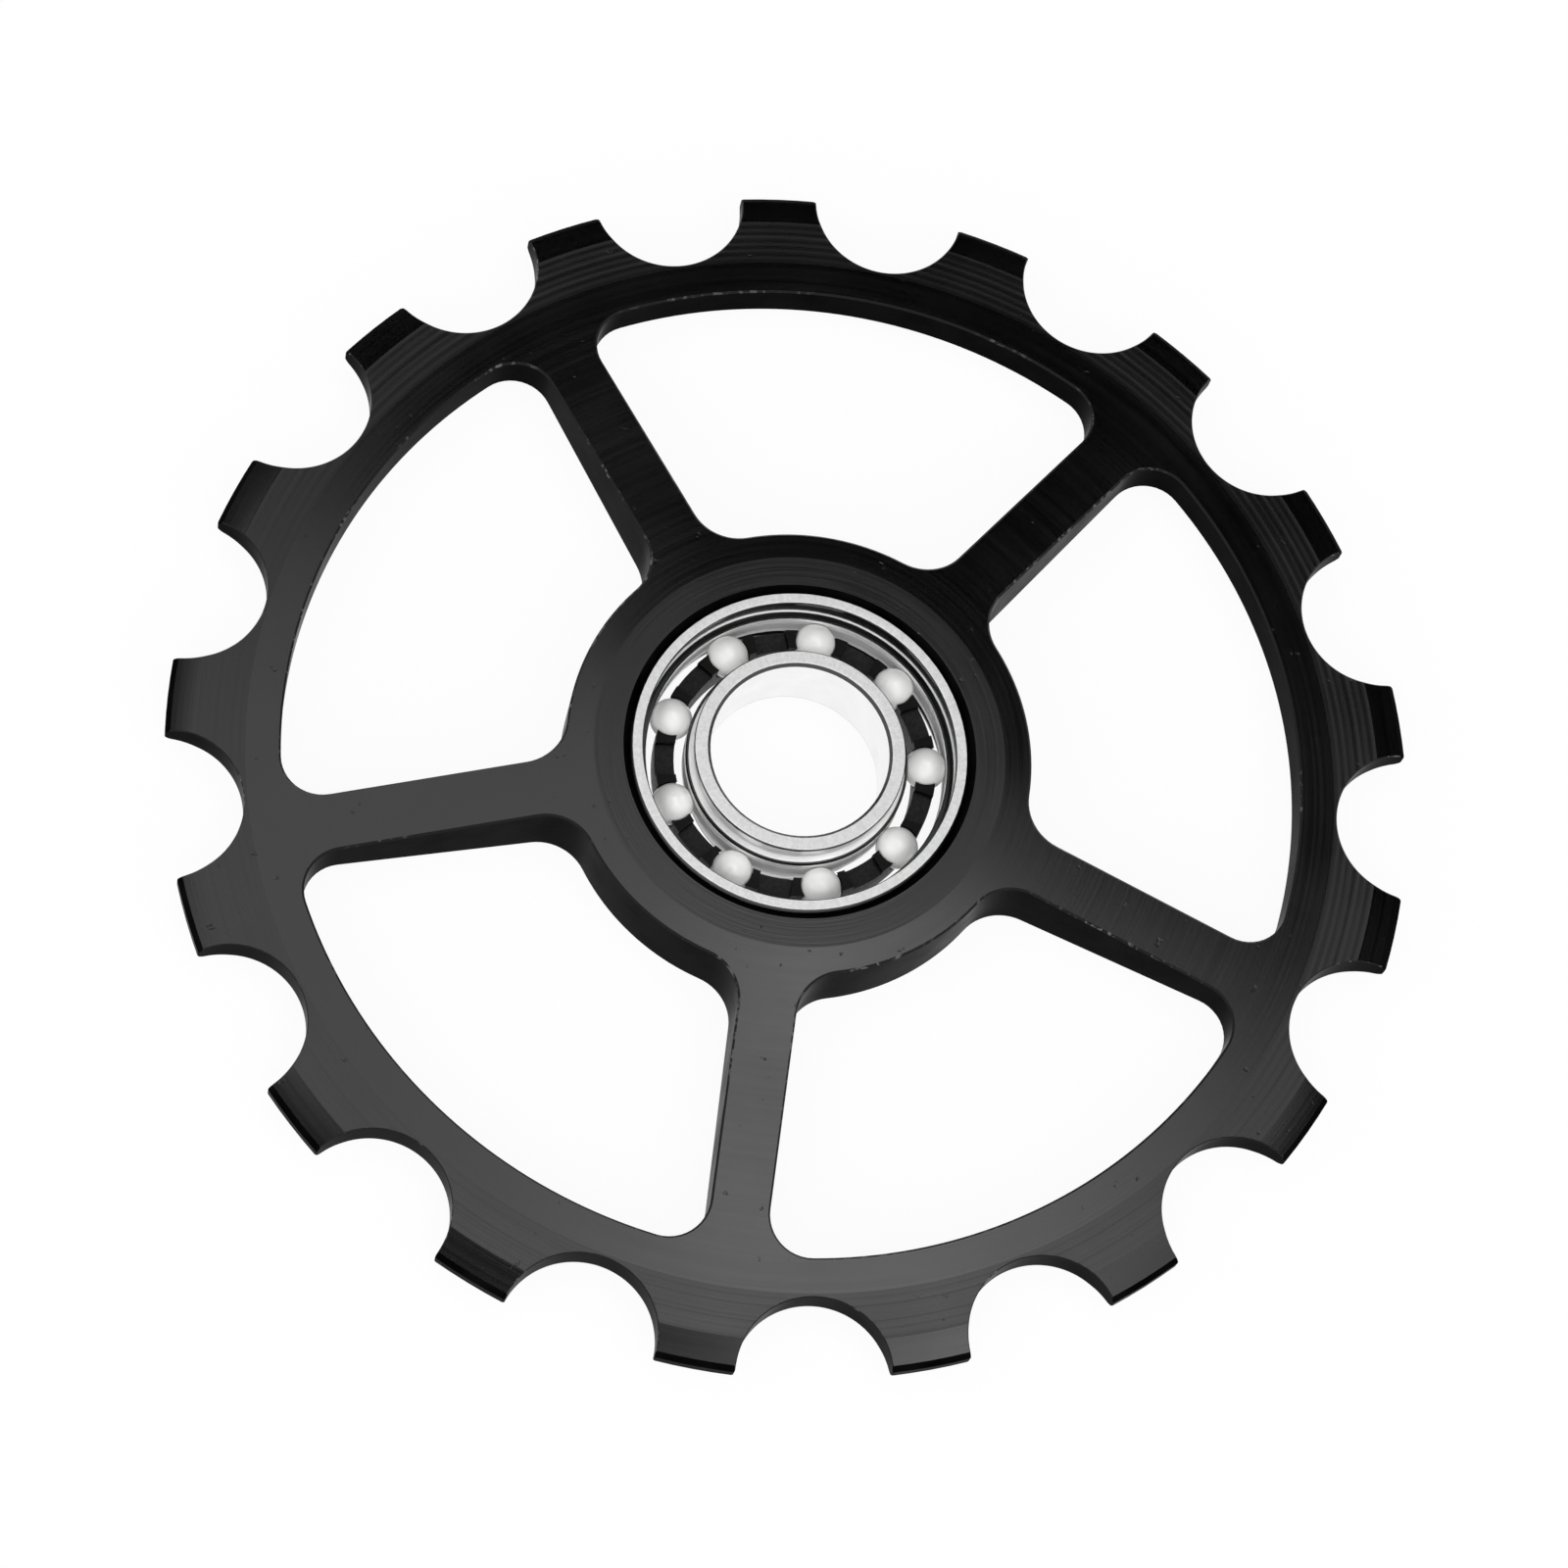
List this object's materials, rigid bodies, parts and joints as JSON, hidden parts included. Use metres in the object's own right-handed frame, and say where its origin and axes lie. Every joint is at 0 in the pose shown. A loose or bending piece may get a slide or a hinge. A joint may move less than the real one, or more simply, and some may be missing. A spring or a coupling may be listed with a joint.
{
  "type": "derailleur jockey wheel",
  "caption": "Large black toothed jockey wheel for a rear derailleur, with slim spokes and an open ball bearing with white ceramic balls, which guides the chain and spins freely.",
  "frame": {"origin": "middle of the axle bore, half way between the bearing's two faces", "axes": "+Z along the axle, out of the face towards which the cage's pockets open; +X through the middle of one spoke and one tooth gap"},
  "size_m": [0.0695, 0.0698, 0.005],
  "materials": {
    "anodised_aluminium": "satin",
    "bearing_steel": "satin",
    "black_nylon": "satin",
    "white_ceramic": "gloss"
  },
  "bodies": {
    "inner_race": {"inner_race": "bearing_steel"},
    "wheel": {"toothed_wheel": "anodised_aluminium", "outer_race": "bearing_steel"},
    "cage": {"ball_cage": "black_nylon"},
    "ball_1": {"ball_1": "white_ceramic"},
    "ball_2": {"ball_2": "white_ceramic"},
    "ball_3": {"ball_3": "white_ceramic"},
    "ball_4": {"ball_4": "white_ceramic"},
    "ball_5": {"ball_5": "white_ceramic"},
    "ball_6": {"ball_6": "white_ceramic"},
    "ball_7": {"ball_7": "white_ceramic"},
    "ball_8": {"ball_8": "white_ceramic"},
    "ball_9": {"ball_9": "white_ceramic"}
  },
  "joints": [
    {"name": "wheel_spin", "type": "hinge", "parent": "inner_race", "child": "wheel", "pos_m": [0, 0, 0], "axis": [0, 0, 1], "continuous": true},
    {"name": "cage_spin", "type": "hinge", "parent": "inner_race", "child": "cage", "pos_m": [0, 0, 0], "axis": [0, 0, 1], "continuous": true},
    {"name": "ball_1_roll", "type": "hinge", "parent": "cage", "child": "ball_1", "pos_m": [0.00661, 0.00322, 0], "axis": [0, 0, 1], "continuous": true},
    {"name": "ball_2_roll", "type": "hinge", "parent": "cage", "child": "ball_2", "pos_m": [0.00299, 0.00672, 0], "axis": [0, 0, 1], "continuous": true},
    {"name": "ball_3_roll", "type": "hinge", "parent": "cage", "child": "ball_3", "pos_m": [-0.00203, 0.00707, 0], "axis": [0, 0, 1], "continuous": true},
    {"name": "ball_4_roll", "type": "hinge", "parent": "cage", "child": "ball_4", "pos_m": [-0.00609, 0.00411, 0], "axis": [0, 0, 1], "continuous": true},
    {"name": "ball_5_roll", "type": "hinge", "parent": "cage", "child": "ball_5", "pos_m": [-0.00731, -0.00077, 0], "axis": [0, 0, 1], "continuous": true},
    {"name": "ball_6_roll", "type": "hinge", "parent": "cage", "child": "ball_6", "pos_m": [-0.00511, -0.00529, 0], "axis": [0, 0, 1], "continuous": true},
    {"name": "ball_7_roll", "type": "hinge", "parent": "cage", "child": "ball_7", "pos_m": [-0.00051, -0.00733, 0], "axis": [0, 0, 1], "continuous": true},
    {"name": "ball_8_roll", "type": "hinge", "parent": "cage", "child": "ball_8", "pos_m": [0.00432, -0.00595, 0], "axis": [0, 0, 1], "continuous": true},
    {"name": "ball_9_roll", "type": "hinge", "parent": "cage", "child": "ball_9", "pos_m": [0.00713, -0.00178, 0], "axis": [0, 0, 1], "continuous": true}
  ],
  "couplings": [
    {"joint": "cage_spin", "follows": "wheel_spin", "ratio": 0.58098},
    {"joint": "ball_1_roll", "follows": "wheel_spin", "ratio": 3.0062},
    {"joint": "ball_2_roll", "follows": "wheel_spin", "ratio": 3.0062},
    {"joint": "ball_3_roll", "follows": "wheel_spin", "ratio": 3.0062},
    {"joint": "ball_4_roll", "follows": "wheel_spin", "ratio": 3.0062},
    {"joint": "ball_5_roll", "follows": "wheel_spin", "ratio": 3.0062},
    {"joint": "ball_6_roll", "follows": "wheel_spin", "ratio": 3.0062},
    {"joint": "ball_7_roll", "follows": "wheel_spin", "ratio": 3.0062},
    {"joint": "ball_8_roll", "follows": "wheel_spin", "ratio": 3.0062},
    {"joint": "ball_9_roll", "follows": "wheel_spin", "ratio": 3.0062}
  ]
}
